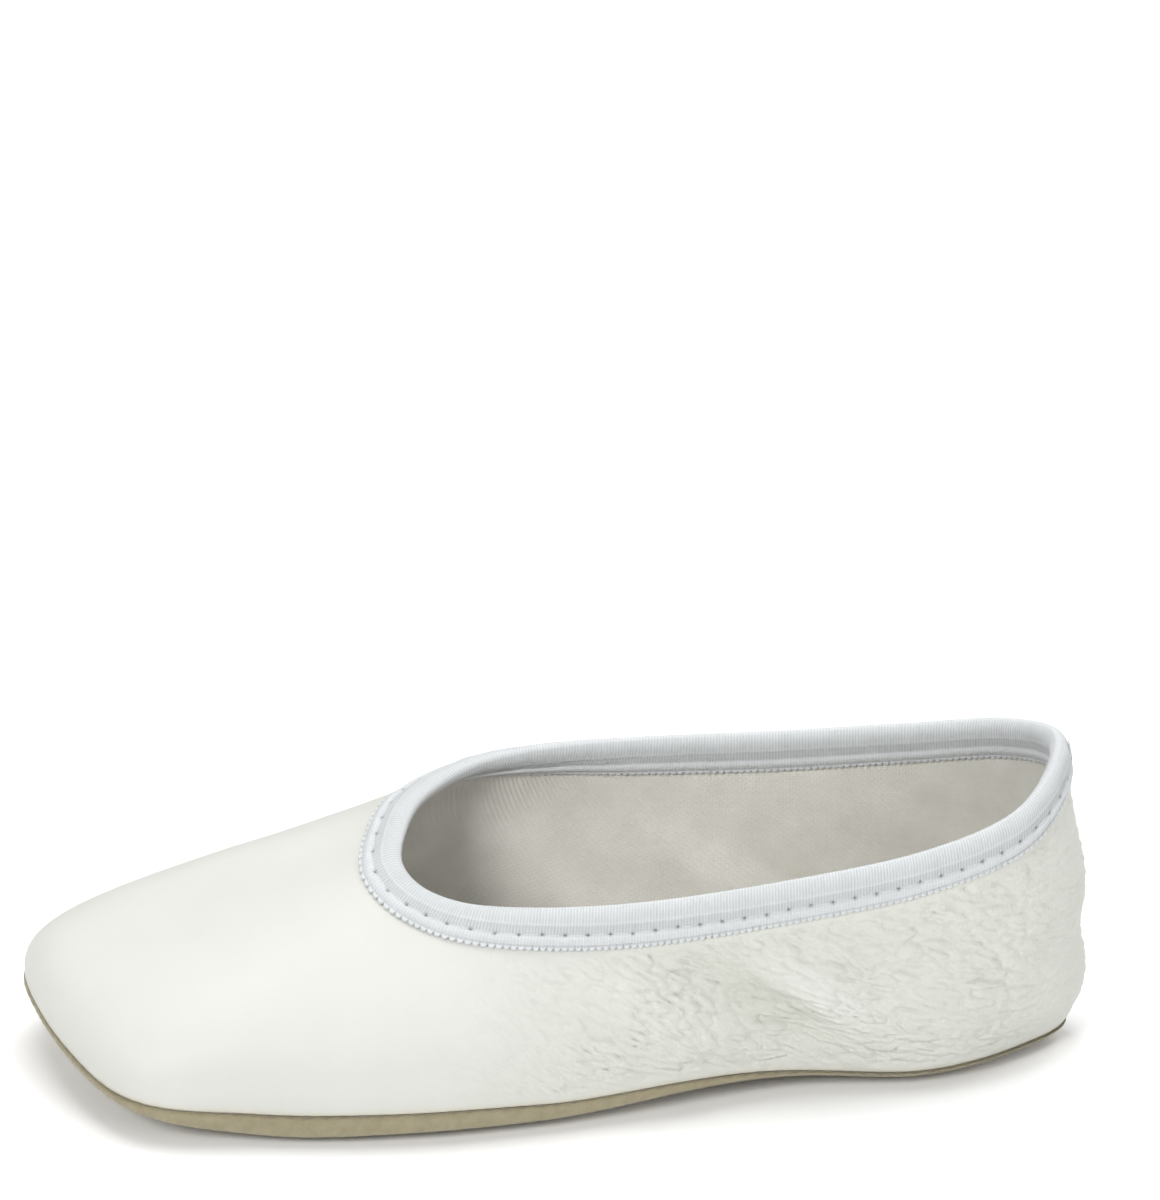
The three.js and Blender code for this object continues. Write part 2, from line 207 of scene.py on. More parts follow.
def toFrame(points):
    return (np.asarray(points).reshape(-1, 3) * frameScale + frameShift) * mm


def addPiece(name, points, faces, material, standsFor, values=None, clothUv=None):
    mesh = bpy.data.meshes.new(name)
    mesh.from_pydata(toFrame(points).tolist(), [], [tuple(face) for face in faces])
    if clothUv is not None:
        layer = mesh.uv_layers.new(name="cloth")
        layer.data.foreach_set("uv", np.asarray(clothUv, np.float32).ravel())
    for label, numbers in (values or {}).items():
        layer = mesh.attributes.new(label, "FLOAT", "POINT")
        layer.data.foreach_set("value", np.asarray(numbers, np.float32).ravel())
    shape = bmesh.new()
    shape.from_mesh(mesh)
    bmesh.ops.recalc_face_normals(shape, faces=shape.faces)
    shape.to_mesh(mesh)
    shape.free()
    mesh.shade_smooth()
    mesh.materials.append(material)
    piece = bpy.data.objects.new(name, mesh)
    bpy.context.scene.collection.objects.link(piece)
    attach(piece, "root")
    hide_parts(standsFor)
    print("made", name, len(mesh.polygons), "faces")
    return piece


def ringFaces(slices, size):
    i, j = np.meshgrid(np.arange(slices), np.arange(size), indexing="ij")
    here, onward = i * size, (i + 1) % slices * size
    above = (j + 1) % size
    return np.stack([here + j, here + above, onward + above, onward + j], -1).reshape(-1, 4)


def ringUv(slices, drops, length):
    # one corner of cloth per millimetre, so that threads and ribs follow the piece
    i, j = np.meshgrid(np.arange(slices), np.arange(len(drops)), indexing="ij")
    u0, u1 = i * length / slices, (i + 1) * length / slices
    v0, v1 = drops[j], drops[(j + 1) % len(drops)]
    return np.stack([u0, v0, u0, v1, u1, v1, u1, v0], -1).reshape(-1, 4, 2)


def plateFaces(outlines, columns, heights):
    # nested outlines from the middle of the top over the edge to the middle underneath
    count = len(outlines[0])
    points = np.concatenate(outlines)
    faces = []
    for ring in range(len(outlines) - 1):
        i = np.arange(count)
        here, below = ring * count, (ring + 1) * count
        faces += np.stack([here + i, here + (i + 1) % count,
                           below + (i + 1) % count, below + i], -1).tolist()
    for base, heightAt in zip((0, (len(outlines) - 1) * count), heights):
        left = base + np.arange(1, count // 2)
        right = base + count - np.arange(1, count // 2)
        share = np.linspace(0, 1, columns + 1)[1:-1, None]
        filled = points[left][:, None] * (1 - share) + points[right][:, None] * share
        filled[..., 2] = heightAt(filled[..., 0], filled[..., 1])
        inner = len(points) + np.arange(filled.shape[0] * filled.shape[1]).reshape(filled.shape[:2])
        points = np.concatenate([points, filled.reshape(-1, 3)])
        grid = np.concatenate([left[:, None], inner, right[:, None]], axis=1)
        faces += np.stack([grid[:-1, :-1], grid[:-1, 1:], grid[1:, 1:], grid[1:, :-1]],
                          -1).reshape(-1, 4).tolist()
        for tip, row in ((base, grid[0]), (base + count // 2, grid[-1])):
            faces += [(tip, row[k], row[k + 1]) for k in range(columns)]
    return points, faces


def soleOutline(turn, inset, lift=0):
    # inset from the sole's outer wall, on its turned-up underside or lifted above it
    # the heel's end is tightly rounded, so the inner outlines lie closer together there
    tight = 1 - smoothStep(*sole["tightHeel"], np.abs(fromBack(turn)))
    squeezed = sole["squeeze"] * tight * max(0, inset - sole["squeezeFrom"])
    outward = outwardOf(seamPoint, turn) * (sole["overhang"] - inset + squeezed)[:, None]
    point = seamPoint(turn) + outward
    curl = roundTheFoot(turn, 2) - roundTheFoot(turn, 3)
    curl *= max(0, 1 - inset / sole["curlReach"]) ** 2
    point[:, 2] = groundHeight(point[:, 0]) + curl + lift
    return point


def rimOutline(turn, inset, dip):
    seam = seamPoint(turn)
    point = seam + outwardOf(seamPoint, turn) * (sole["overhang"] - inset)
    point[:, 2] = seam[:, 2] - wall["gap"] - dip
    return point


def threadShape(paths, outward, radius, sides=7):
    # short strands with tapered ends, one closed body for each path
    step = np.arange(paths.shape[1])
    tipSize, taperRate = 0.3, 0.45
    taper = np.minimum(1, np.minimum(step, step[::-1]) * taperRate + tipSize)
    ahead = np.gradient(paths, axis=1)
    sideways = np.cross(ahead, outward)
    sideways /= np.linalg.norm(sideways, axis=-1, keepdims=True)
    upward = np.cross(sideways, ahead)
    upward /= np.linalg.norm(upward, axis=-1, keepdims=True)
    angle = np.arange(sides) * 2 * np.pi / sides
    ring = (np.cos(angle)[:, None] * upward[:, :, None]
            + np.sin(angle)[:, None] * sideways[:, :, None])
    points = paths[:, :, None] + ring * radius * taper[:, None, None]
    strands, length = paths.shape[:2]
    index = np.arange(strands * length * sides).reshape(strands, length, sides)
    turned = np.roll(index, -1, axis=2)
    quads = np.stack([index[:, :-1], turned[:, :-1], turned[:, 1:], index[:, 1:]], -1)
    caps = np.concatenate([index[:, 0], index[:, -1, ::-1]])
    return points.reshape(-1, 3), quads.reshape(-1, 4).tolist() + caps.tolist()


def newGroup(name, inputs, outputs):
    tree = bpy.data.node_groups.new(name, "ShaderNodeTree")
    for label, kind, value in inputs:
        socket = tree.interface.new_socket(name=label, in_out="INPUT", socket_type=kind)
        if value is not None:
            socket.default_value = value
    for label, kind in outputs:
        tree.interface.new_socket(name=label, in_out="OUTPUT", socket_type=kind)
    return tree, tree.nodes.new("NodeGroupInput"), tree.nodes.new("NodeGroupOutput")


def addNode(tree, kind, inputs=None, **settings):
    node = tree.nodes.new(kind)
    for label, value in settings.items():
        setattr(node, label, value)
    for label, value in (inputs or {}).items():
        if isinstance(value, bpy.types.NodeSocket):
            tree.links.new(value, node.inputs[label])
        else:
            node.inputs[label].default_value = value
    return node


def maths(tree, operation, a, b=None, clamp=False):
    inputs = {0: a} if b is None else {0: a, 1: b}
    return addNode(tree, "ShaderNodeMath", inputs, operation=operation, use_clamp=clamp).outputs[0]


def mixColour(tree, factor, a, b):
    return addNode(tree, "ShaderNodeMix", {0: factor, 6: a, 7: b}, data_type="RGBA").outputs[2]


def makeMottleGroup():
    tree, given, result = newGroup("mottle", [
        ("Vector", "NodeSocketVector", None),
        ("Colour", "NodeSocketColor", None),
        ("Tint", "NodeSocketColor", None),
        ("Patch Size", "NodeSocketFloat", 12.0),
        ("Amount", "NodeSocketFloat", 0.5),
    ], [("Colour", "NodeSocketColor")])
    scale = maths(tree, "DIVIDE", 1.0, given.outputs["Patch Size"])
    patches = addNode(tree, "ShaderNodeTexNoise", {
        "Vector": given.outputs["Vector"], "Scale": scale, "Detail": 4.0, "Roughness": 0.6})
    share = addNode(tree, "ShaderNodeMapRange", {
        "Value": patches.outputs["Fac"], "From Min": 0.35, "From Max": 0.7}).outputs[0]
    factor = maths(tree, "MULTIPLY", share, given.outputs["Amount"])
    colour = mixColour(tree, factor, given.outputs["Colour"], given.outputs["Tint"])
    tree.links.new(colour, result.inputs["Colour"])
    return tree


def makePebbleGroup():
    # rounded grains divided by fine creases, as on soft leather
    tree, given, result = newGroup("pebble grain", [
        ("Vector", "NodeSocketVector", None),
        ("Grain Size", "NodeSocketFloat", 1.0),
        ("Wander", "NodeSocketFloat", 0.5),
    ], [("Height", "NodeSocketFloat"), ("Creases", "NodeSocketFloat")])
    drift = addNode(tree, "ShaderNodeTexNoise", {
        "Vector": given.outputs["Vector"], "Scale": 0.6, "Detail": 2.0})
    moved = addNode(tree, "ShaderNodeVectorMath", {
        0: drift.outputs["Color"], 1: given.outputs["Wander"]}, operation="MULTIPLY").outputs[0]
    vector = addNode(tree, "ShaderNodeVectorMath", {
        0: given.outputs["Vector"], 1: moved}, operation="ADD").outputs[0]
    scale = maths(tree, "DIVIDE", 1.0, given.outputs["Grain Size"])
    cells = addNode(tree, "ShaderNodeTexVoronoi", {
        "Vector": vector, "Scale": scale}, feature="DISTANCE_TO_EDGE")
    rounded = addNode(tree, "ShaderNodeMapRange", {
        "Value": cells.outputs["Distance"], "From Max": 0.35},
        interpolation_type="SMOOTHERSTEP").outputs[0]
    fineScale = maths(tree, "MULTIPLY", scale, 2.5)
    fine = addNode(tree, "ShaderNodeTexNoise", {"Vector": vector, "Scale": fineScale, "Detail": 3.0})
    height = maths(tree, "ADD", rounded, maths(tree, "MULTIPLY", fine.outputs["Fac"], 0.4))
    tree.links.new(height, result.inputs["Height"])
    tree.links.new(maths(tree, "SUBTRACT", 1.0, rounded), result.inputs["Creases"])
    return tree


def makeWeaveGroup():
    # plain weave from the piece's own cloth coordinates, in millimetres
    tree, given, result = newGroup("plain weave", [
        ("Thread Pitch", "NodeSocketFloat", 0.4),
    ], [("Height", "NodeSocketFloat"), ("Gaps", "NodeSocketFloat")])
    cloth = addNode(tree, "ShaderNodeUVMap", uv_map="cloth")
    split = addNode(tree, "ShaderNodeSeparateXYZ", {0: cloth.outputs["UV"]})
    rate = maths(tree, "DIVIDE", math.pi, given.outputs["Thread Pitch"])
    warp = maths(tree, "SINE", maths(tree, "MULTIPLY", split.outputs["X"], rate))
    weft = maths(tree, "SINE", maths(tree, "MULTIPLY", split.outputs["Y"], rate))
    over = maths(tree, "GREATER_THAN", maths(tree, "MULTIPLY", warp, weft), 0.0)
    warpTop = maths(tree, "ABSOLUTE", warp)
    weftTop = maths(tree, "ABSOLUTE", weft)
    height = addNode(tree, "ShaderNodeMix", {
        0: over, 2: warpTop, 3: weftTop}, data_type="FLOAT").outputs[0]
    gaps = maths(tree, "SUBTRACT", 1.0, maths(tree, "MAXIMUM", warpTop, weftTop), clamp=True)
    tree.links.new(height, result.inputs["Height"])
    tree.links.new(gaps, result.inputs["Gaps"])
    return tree


def makeNapGroup():
    # short brushed fibres, as on suede and felt
    tree, given, result = newGroup("brushed nap", [
        ("Vector", "NodeSocketVector", None),
        ("Fibre Size", "NodeSocketFloat", 0.3),
    ], [("Height", "NodeSocketFloat"), ("Shade", "NodeSocketFloat")])
    scale = maths(tree, "DIVIDE", 1.0, given.outputs["Fibre Size"])
    fibres = addNode(tree, "ShaderNodeTexNoise", {
        "Vector": given.outputs["Vector"], "Scale": scale, "Detail": 5.0,
        "Roughness": 0.75, "Distortion": 1.2})
    clumps = addNode(tree, "ShaderNodeTexNoise", {
        "Vector": given.outputs["Vector"], "Scale": maths(tree, "MULTIPLY", scale, 0.18),
        "Detail": 3.0})
    tree.links.new(fibres.outputs["Fac"], result.inputs["Height"])
    shade = maths(tree, "ADD", maths(tree, "MULTIPLY", fibres.outputs["Fac"], 0.5),
                  maths(tree, "MULTIPLY", clumps.outputs["Fac"], 0.5))
    tree.links.new(shade, result.inputs["Shade"])
    return tree


mottleGroup = makeMottleGroup()
pebbleGroup = makePebbleGroup()
weaveGroup = makeWeaveGroup()
napGroup = makeNapGroup()
print("node groups made")


def startMaterial(name, **sockets):
    material = bpy.data.materials.new(name)
    material.use_nodes = True
    tree = material.node_tree
    shader = tree.nodes["Principled BSDF"]
    for label, value in sockets.items():
        shader.inputs[label].default_value = value
    where = addNode(tree, "ShaderNodeTexCoord").outputs["Object"]
    millimetres = addNode(tree, "ShaderNodeVectorMath", {
        0: where, 1: (1000, 1000, 1000)}, operation="MULTIPLY").outputs[0]
    return material, tree, shader, millimetres


def placeGroup(tree, group, inputs):
    return addNode(tree, "ShaderNodeGroup", inputs, node_tree=group)


def readValue(tree, label):
    return addNode(tree, "ShaderNodeAttribute", attribute_name=label).outputs["Fac"]


def addBump(tree, shader, height, depth):
    bump = addNode(tree, "ShaderNodeBump", {
        "Height": height, "Distance": depth * mm, "Strength": 1.0})
    tree.links.new(bump.outputs["Normal"], shader.inputs["Normal"])


def makeLeather():
    look = {"colour": (0.583, 0.588, 0.553, 1), "quarter": (0.585, 0.595, 0.55, 1),
            "tint": (0.54, 0.55, 0.505, 1), "seamShade": (0.56, 0.53, 0.43, 1),
            "creaseShade": (0.47, 0.47, 0.42, 1), "hollowShade": (0.50, 0.505, 0.445, 1),
            "ridgeHighlight": (0.628, 0.638, 0.598, 1), "smoothRoughness": 0.53, "slackRoughness": 0.65,
            "patchSize": 14.0, "grainSize": 1.1, "grainDepth": 0.05, "smoothGrain": 0.12}
    material, tree, shader, where = startMaterial("whiteLeather", **{"Specular IOR Level": 0.34})
    slack = readValue(tree, "slack")
    colour = mixColour(tree, slack, look["colour"], look["quarter"])
    mottle = placeGroup(tree, mottleGroup, {
        "Vector": where, "Colour": colour, "Tint": look["tint"],
        "Patch Size": look["patchSize"], "Amount": 0.35})
    pebble = placeGroup(tree, pebbleGroup, {
        "Vector": where, "Grain Size": look["grainSize"], "Wander": 0.9})
    shaded = mottle.outputs["Colour"]
    # painted light on the leather: shade along the sole seam, in the hollow and in the creases'
    # valleys, and a highlight on the ridge
    for mask in ("seamShade", "hollowShade", "ridgeHighlight", "creaseShade"):
        shaded = mixColour(tree, readValue(tree, mask), shaded, look[mask])
    tree.links.new(shaded, shader.inputs["Base Color"])
    roughness = addNode(tree, "ShaderNodeMapRange", {
        "Value": slack, "To Min": look["smoothRoughness"], "To Max": look["slackRoughness"]})
    tree.links.new(roughness.outputs[0], shader.inputs["Roughness"])
    grainShare = maths(tree, "ADD", slack, look["smoothGrain"])
    grain = maths(tree, "MULTIPLY", pebble.outputs["Height"], grainShare)
    addBump(tree, shader, grain, look["grainDepth"])
    return material


def makeSuede():
    look = {"colour": (0.31, 0.27, 0.165, 1), "tint": (0.24, 0.21, 0.125, 1),
            "worn": (0.37, 0.33, 0.215, 1), "fibre": 0.5, "depth": 0.25}
    material, tree, shader, where = startMaterial("tanSuede", Roughness=0.95, **{
        "Specular IOR Level": 0.15, "Sheen Weight": 0.35, "Sheen Roughness": 0.6})
    nap = placeGroup(tree, napGroup, {"Vector": where, "Fibre Size": look["fibre"]})
    mottle = placeGroup(tree, mottleGroup, {
        "Vector": where, "Colour": look["colour"], "Tint": look["tint"],
        "Patch Size": 1.6, "Amount": 0.7})
    share = addNode(tree, "ShaderNodeMapRange", {
        "Value": nap.outputs["Shade"], "From Min": 0.4, "From Max": 0.65}).outputs[0]
    wear = maths(tree, "MULTIPLY", share, 0.6)
    colour = mixColour(tree, wear, mottle.outputs["Colour"], look["worn"])
    tree.links.new(colour, shader.inputs["Base Color"])
    addBump(tree, shader, nap.outputs["Height"], look["depth"])
    return material


def makeElastic():
    look = {"colour": (0.66, 0.68, 0.69, 1), "tint": (0.60, 0.62, 0.63, 1),
            "groove": (0.40, 0.42, 0.43, 1), "shadedHole": (0.10, 0.105, 0.115, 1),
            "threadPitch": 0.28, "depth": 0.05}
    material, tree, shader, where = startMaterial(
        "whiteElastic", Roughness=0.75, **{"Specular IOR Level": 0.3, "Sheen Weight": 0.25})
    weave = placeGroup(tree, weaveGroup, {"Thread Pitch": look["threadPitch"]})
    mottle = placeGroup(tree, mottleGroup, {
        "Vector": where, "Colour": look["colour"], "Tint": look["tint"],
        "Patch Size": 3.0, "Amount": 0.5})
    # the gaps between threads are painted darker, as shade
    gaps = maths(tree, "MULTIPLY", weave.outputs["Gaps"], 0.5)
    woven = mixColour(tree, gaps, mottle.outputs["Colour"], look["tint"])
    # painted shade in the grooves between ribs and between picots
    grooved = mixColour(tree, readValue(tree, "groove"), woven, look["groove"])
    # painted shade in the needle holes
    holed = mixColour(tree, readValue(tree, "shadedHole"), grooved, look["shadedHole"])
    tree.links.new(holed, shader.inputs["Base Color"])
    addBump(tree, shader, weave.outputs["Height"], look["depth"])
    return material


def makeCotton(name, colour, tint, pitch):
    material, tree, shader, where = startMaterial(
        name, Roughness=0.9, **{"Specular IOR Level": 0.2, "Sheen Weight": 0.2})
    weave = placeGroup(tree, weaveGroup, {"Thread Pitch": pitch})
    mottle = placeGroup(tree, mottleGroup, {
        "Vector": where, "Colour": colour, "Tint": tint, "Patch Size": 8.0, "Amount": 0.6})
    # the gaps between threads are painted darker, as shade
    gaps = maths(tree, "MULTIPLY", weave.outputs["Gaps"], 0.35)
    woven = mixColour(tree, gaps, mottle.outputs["Colour"], tint)
    tree.links.new(woven, shader.inputs["Base Color"])
    addBump(tree, shader, weave.outputs["Height"], 0.06)
    return material


def makeThread(name, colour, tint):
    material, tree, shader, where = startMaterial(name, Roughness=0.6, **{"Sheen Weight": 0.2})
    twist = addNode(tree, "ShaderNodeTexWave", {"Vector": where, "Scale": 1.4, "Distortion": 0.4},
                    bands_direction="DIAGONAL")
    mottle = placeGroup(tree, mottleGroup, {
        "Vector": where, "Colour": colour, "Tint": tint, "Patch Size": 1.0, "Amount": 0.7})
    tree.links.new(mottle.outputs["Colour"], shader.inputs["Base Color"])
    addBump(tree, shader, twist.outputs["Fac"], 0.05)
    return material


def makeFelt():
    look = {"colour": (0.62, 0.58, 0.48, 1), "tint": (0.5, 0.47, 0.38, 1),
            "fibre": 0.6, "depth": 0.3}
    material, tree, shader, where = startMaterial(
        "feltPad", Roughness=1.0, **{"Specular IOR Level": 0.1})
    nap = placeGroup(tree, napGroup, {"Vector": where, "Fibre Size": look["fibre"]})
    mottle = placeGroup(tree, mottleGroup, {
        "Vector": where, "Colour": look["colour"], "Tint": look["tint"],
        "Patch Size": 3.0, "Amount": 0.8})
    tree.links.new(mottle.outputs["Colour"], shader.inputs["Base Color"])
    addBump(tree, shader, nap.outputs["Height"], look["depth"])
    return material


leatherMaterial = makeLeather()
suedeMaterial = makeSuede()
elasticMaterial = makeElastic()
liningMaterial = makeCotton("liningCotton", (0.72, 0.71, 0.66, 1), (0.6, 0.59, 0.54, 1), 0.62)
sockMaterial = makeCotton("sockCotton", (0.68, 0.65, 0.58, 1), (0.54, 0.51, 0.45, 1), 0.6)
tapeMaterial = makeCotton("tapeCotton", (0.7, 0.7, 0.67, 1), (0.56, 0.56, 0.53, 1), 0.7)
whiteThread = makeThread("whiteThread", (0.62, 0.64, 0.65, 1), (0.5, 0.52, 0.53, 1))
creamThread = makeThread("creamThread", (0.26, 0.23, 0.17, 1), (0.16, 0.14, 0.1, 1))
feltMaterial = makeFelt()
print("materials made")


def aimCamera():
    shot = {"towardsToe": 4, "elevation": 23, "distance": 1.026, "lens": 163.2,
            "right": 0.0038, "up": 0.0849}
    turn, tilt = math.radians(shot["towardsToe"]), math.radians(shot["elevation"])
    level = math.cos(tilt)
    back = Vector((math.sin(turn) * level, math.cos(turn) * level, math.sin(tilt)))
    right = Vector((-math.cos(turn), math.sin(turn), 0))
    up = back.cross(right)
    camera = bpy.data.objects.new("camera", bpy.data.cameras.new("camera"))
    bpy.context.scene.collection.objects.link(camera)
    origin = Vector(tuple(frameShift * mm))
    place = origin + back * shot["distance"] + right * shot["right"] + up * shot["up"]
    axes = Matrix((right, up, back)).transposed().to_4x4()
    camera.matrix_world = Matrix.Translation(place) @ axes
    camera.data.lens = shot["lens"]
    camera.data.sensor_width = 36
    camera.data.clip_start, camera.data.clip_end = 0.01, 20
    bpy.context.scene.camera = camera


def addSoftbox(name, place, target, size, watts):
    light = bpy.data.lights.new(name, "AREA")
    light.shape = "RECTANGLE"
    light.size = light.size_y = size
    light.energy = watts
    box = bpy.data.objects.new(name, light)
    box.location = place
    box.rotation_euler = (Vector(target) - Vector(place)).to_track_quat("-Z", "Y").to_euler()
    bpy.context.scene.collection.objects.link(box)


def lightRoom():
    room = {
        "sky": 0.15,
        "target": (0, 0, 0.03),
        # name, place, size and watts of each softbox
        "softboxes": [
            ("overheadSoftbox", (0.1, -0.22, 1.35), 0.9, 12),
            ("keySoftbox", (0.8, 1.15, 0.95), 0.55, 16),
            ("fillSoftbox", (-0.9, 1.0, 0.7), 0.9, 8),
            ("heelSoftbox", (-0.9, -0.7, 1.0), 1.0, 9),
            ("toeSoftbox", (0.9, -0.7, 1.0), 1.0, 4),
        ],
    }
    world = bpy.data.worlds.new("studio")
    world.use_nodes = True
    tree = world.node_tree
    # the backdrop is white to the eye, but lights the room only a little
    seen = addNode(tree, "ShaderNodeLightPath").outputs["Is Camera Ray"]
    background = tree.nodes["Background"]
    tree.links.new(maths(tree, "MAXIMUM", seen, room["sky"]), background.inputs["Strength"])
    background.inputs["Color"].default_value = (1, 1, 1, 1)
    bpy.context.scene.world = world
    bpy.context.scene.view_settings.view_transform = "Standard"
    for name, place, size, watts in room["softboxes"]:
        addSoftbox(name, place, room["target"], size, watts)


def layFloor():
    look = {"half": 3.0, "colour": (0.93, 0.93, 0.93, 1), "roughness": 0.9, "shine": 0.1,
            "paleFrom": 0.45, "paleTo": 1.3}
    half = look["half"]
    corners = [(-half, -half, 0), (half, -half, 0), (half, half, 0), (-half, half, 0)]
    mesh = bpy.data.meshes.new("floor")
    mesh.from_pydata(corners, [], [(0, 1, 2, 3)])
    material = bpy.data.materials.new("paleFloor")
    material.use_nodes = True
    tree = material.node_tree
    shader = tree.nodes["Principled BSDF"]
    shader.inputs["Base Color"].default_value = look["colour"]
    shader.inputs["Roughness"].default_value = look["roughness"]
    shader.inputs["Specular IOR Level"].default_value = look["shine"]
    # far from the slipper the floor stays pale to the eye, past the reach of the softboxes
    away = addNode(tree, "ShaderNodeVectorMath", {
        0: addNode(tree, "ShaderNodeNewGeometry").outputs["Position"]}, operation="LENGTH")
    far = addNode(tree, "ShaderNodeMapRange", {
        "Value": away.outputs["Value"], "From Min": look["paleFrom"], "From Max": look["paleTo"]})
    eye = addNode(tree, "ShaderNodeLightPath").outputs["Is Camera Ray"]
    blend = addNode(tree, "ShaderNodeMixShader", {
        0: maths(tree, "MULTIPLY", far.outputs[0], eye),
        1: shader.outputs[0], 2: addNode(tree, "ShaderNodeEmission").outputs[0]})
    tree.links.new(blend.outputs[0], tree.nodes["Material Output"].inputs["Surface"])
    mesh.materials.append(material)
    floor = bpy.data.objects.new("floor", mesh)
    bpy.context.scene.collection.objects.link(floor)


aimCamera()
lightRoom()
layFloor()
print("camera, lights and floor set")


upper = {
    "slices": 1150, "rows": 150, "innerRows": 24,
    # broad folds in both quarters: along and height of both ends, half width, rise
    "folds": [
        ((-20, 32), (-46, 12), 4.4, -2.0),
        ((-31, 33), (-60, 12), 3.8, 1.9),
        ((-6, 24), (-30, 11), 5.0, 1.0),
        ((-58, 37), (-82, 30), 3.6, -0.7),
        ((-62, 17), (-84, 15), 4.5, 0.6),
        ((6, 25), (-12, 14), 4.0, -0.6),
    ],
    # the same for the painted shade along the hollow and the painted highlight on the ridge beside
    # it, with their share of colour
    "paintedShadeAndHighlight": {
        "hollowShade": ((-23, 32), (-50, 12), 5.0, 0.8),
        "ridgeHighlight": ((-34, 32), (-61, 12), 3.2, 1.0),
    },
    "farSide": 0.55,  # the right side's share of the folds
    "farCreases": 0.25,  # the least share of the creases on the right side
    "heelBulges": [(36, 6.5, 0.7), (24, 4.5, -0.9), (13, 5.0, 0.6)],  # height, half height, rise
    "bulgeEnds": (0.03, 0.1),  # turns from the centre back
    "foldsUnderBinding": (8.5, 15), "foldsOverSeam": (0.5, 7),
    "smoothFrom": (-18, 36),  # where the slack quarter turns into the smooth forefoot
    "slackLean": 0.5, "slackLevel": 16, "slackOverSeam": (0.2, 3.5),
    "calmHeel": (80, 96), "calm": 0.62,
    "creaseTop": (8.0, 10.0),
    "creaseSlope": (0.62, 0.0027),
    "waves": 0.2, "waveSize": 17, "driftSize": 14,
    "patchSize": 13, "patchShift": (5, 9, 2), "patchBase": 0.75, "patchDepth": 0.6,
    "creases": [
        # size along, across and through the fold, depth, step from side to side, wander
        ((7.0, 2.7, 7.0), 0.44, 0.06, 0.45),
        ((4.4, 1.8, 4.6), 0.52, 0.07, 0.6),
        ((2.8, 1.2, 2.9), 0.28, 0.04, 0.8),
    ],
    "valley": 0.42, "valleyFloor": 0.02, "stepSharpness": 9, "shadeBelow": 0.4,
    "seamLength": 470,
    # pitch, wander, wander's length and reach of the puckers at the sole and under the binding
    "pucker": (3.6, 0.35, 7.3, 2.6), "puckerDepth": 0.04, "archPucker": 0.12,
    "gather": (5.1, 0.4, 9.1, 3.5), "gatherDepth": 0.1, "gatherTop": (8.0, 9.5),
    "backSeamDepth": 0.45, "backSeamHalfWidth": 0.55, "collarLength": 330,
    "seamShadeReach": 0.9, "seamShadeShare": 0.8,
}


def distanceToStroke(x, z, start, end):
    dx, dz = end[0] - start[0], end[1] - start[1]
    share = np.clip(((x - start[0]) * dx + (z - start[1]) * dz) / (dx * dx + dz * dz), 0, 1)
    return np.hypot(x - start[0] - share * dx, z - start[1] - share * dz), share


def nearSide(y):
    # the slipper's left side is folded and creased the most
    return upper["farSide"] + (1 - upper["farSide"]) * smoothStep(-5, 5, y)


def drapeHeight(point, turn, drop):
    # broad soft folds that the leather and its lining share
    x, y, z = point[..., 0], point[..., 1], point[..., 2]
    height = np.zeros(x.shape)
    for start, end, width, rise in upper["folds"]:
        away, share = distanceToStroke(x, z, start, end)
        ease = 0.35 + 0.65 * np.sin(np.pi * np.clip(share, 0.05, 0.95))
        height += rise * bell(away, 0, width) * ease * nearSide(y)
    heel = 1 - smoothStep(*upper["bulgeEnds"], np.abs(fromBack(turn))[:, None])
    for centre, width, rise in upper["heelBulges"]:
        height += rise * heel * bell(z, centre, width)
    toBinding = smoothStep(*upper["foldsUnderBinding"], drop)
    toSeam = smoothStep(*upper["foldsOverSeam"], z - seamPoint(turn)[:, 2][:, None])
    return height * toBinding * toSeam


def creaseField(point, strength):
    # fine creases that run down and back, and a mask of painted shade in their valleys
    x, y, z = point[..., 0], point[..., 1], point[..., 2]
    height, valleyShade = np.zeros(x.shape), np.zeros(x.shape)
    steepness, easing = upper["creaseSlope"]
    across = z - x * (steepness + easing * x)
    shift = Vector(upper["patchShift"])
    for index in np.ndindex(x.shape):
        spot = Vector((x[index], y[index], z[index]))
        value = upper["waves"] * noise.noise(spot / upper["waveSize"])
        if strength[index] > 0.01:
            drift = noise.noise_vector(spot / upper["driftSize"])
            lump = max(0.0, noise.noise(spot / upper["patchSize"] + shift) + 0.1)
            weight = strength[index] * (upper["patchBase"] + upper["patchDepth"] * lump)
            for size, depth, step, wander in upper["creases"]:
                flow = Vector((x[index] / size[0], across[index] / size[1], y[index] / size[2]))
                wave = noise.noise(flow + drift * wander)
                slopes = math.hypot(wave, upper["valleyFloor"]) / upper["valley"]
                puff = 1 - max(0.0, 1 - slopes) ** 2
                tilt = math.tanh(wave * upper["stepSharpness"])
                value += weight * (depth * (puff - 1) + step * tilt)
                # painted shade in the valleys, where the puff is low
                valleyShade[index] += weight * depth * max(0.0, upper["shadeBelow"] - puff)
        height[index] = value
    return height, np.clip(valleyShade * 2, 0, 1)


def edgeWave(run, pitch, wander, wanderLength):
    # a wave along an edge with an uneven pitch
    return np.sin(2 * np.pi * (run / pitch + wander * np.sin(run / wanderLength)))


